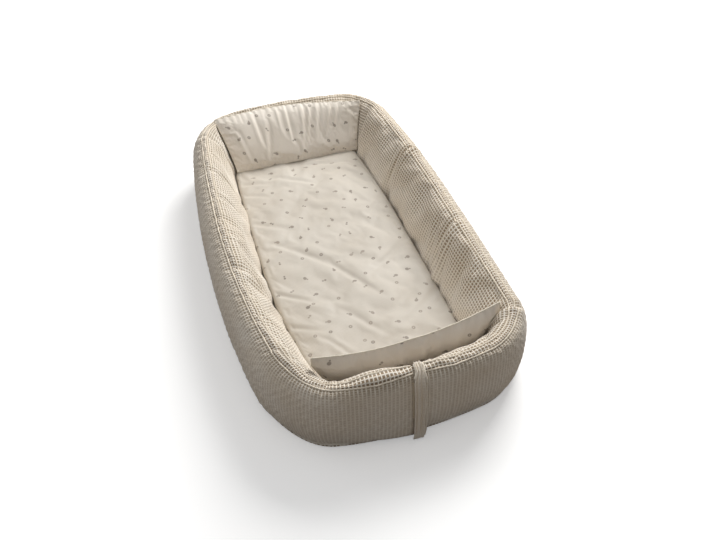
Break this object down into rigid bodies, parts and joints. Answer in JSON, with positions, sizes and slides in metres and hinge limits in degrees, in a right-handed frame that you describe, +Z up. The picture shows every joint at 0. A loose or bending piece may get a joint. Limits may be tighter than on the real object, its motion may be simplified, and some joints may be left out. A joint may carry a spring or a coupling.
{
  "type": "infant lounger",
  "caption": "Padded infant lounger: a stuffed waffle-weave wall round a printed mattress with standing end pads, closed at the foot by an overlapping flap.",
  "frame": {"origin": "on the floor, under the middle of the wall's overall length and width; the closure flap stands a few millimetres past the foot end", "axes": "+Z up from the floor, +Y from the foot end towards the head end, +X towards the side that the closure flap opens to (on the right when looking from the foot to the head)"},
  "size_m": [0.514, 0.9056, 0.1604],
  "materials": {
    "waffle_cloth": "matt waffle weave",
    "plain_cotton": "matt plain weave",
    "printed_cotton": "satin-finished printed cotton",
    "fibre_filling": "loose white fibre",
    "tape_nylon": "woven hook and loop tape"
  },
  "bodies": {
    "nest": {"base_panel": "waffle_cloth", "base_wadding": "fibre_filling", "base_lining": "plain_cotton", "fill_foot_left": "fibre_filling", "fill_left": "fibre_filling", "fill_head": "fibre_filling", "fill_right": "fibre_filling", "fill_foot_right": "fibre_filling", "outer_panel": "waffle_cloth", "top_band": "waffle_cloth", "inner_panel": "waffle_cloth", "outer_seam_cord": "waffle_cloth", "inner_seam_cord": "waffle_cloth", "end_panel_left": "waffle_cloth", "end_panel_right": "waffle_cloth", "hook_tape": "tape_nylon", "flap_root_tape": "tape_nylon"},
    "flap": {"closure_flap": "waffle_cloth", "flap_binding": "waffle_cloth", "loop_tape": "tape_nylon"},
    "mattress": {"mattress_cover": "printed_cotton", "mattress_core": "fibre_filling", "mattress_underside": "plain_cotton"},
    "head_pad": {"head_pad_front": "printed_cotton", "head_pad_back": "printed_cotton", "head_pad_fill": "fibre_filling"},
    "foot_pad": {"foot_pad_front": "printed_cotton", "foot_pad_back": "printed_cotton", "foot_pad_fill": "fibre_filling"}
  },
  "joints": [
    {"name": "mattress_lift", "type": "slide", "parent": "nest", "child": "mattress", "axis": [0, 0, 1], "range_m": [0, 0.25]},
    {"name": "head_pad_fold", "type": "hinge", "parent": "mattress", "child": "head_pad", "pos_m": [0, 0.3077, 0.0568], "axis": [1, 0, 0], "range_deg": [0, 70]},
    {"name": "foot_pad_fold", "type": "hinge", "parent": "mattress", "child": "foot_pad", "pos_m": [0, -0.3569, 0.0562], "axis": [-1, 0, 0], "range_deg": [0, 35]},
    {"name": "flap_peel", "type": "hinge", "parent": "nest", "child": "flap", "pos_m": [0, -0.4542, 0], "axis": [0, 0, -1], "range_deg": [0, 120]}
  ]
}
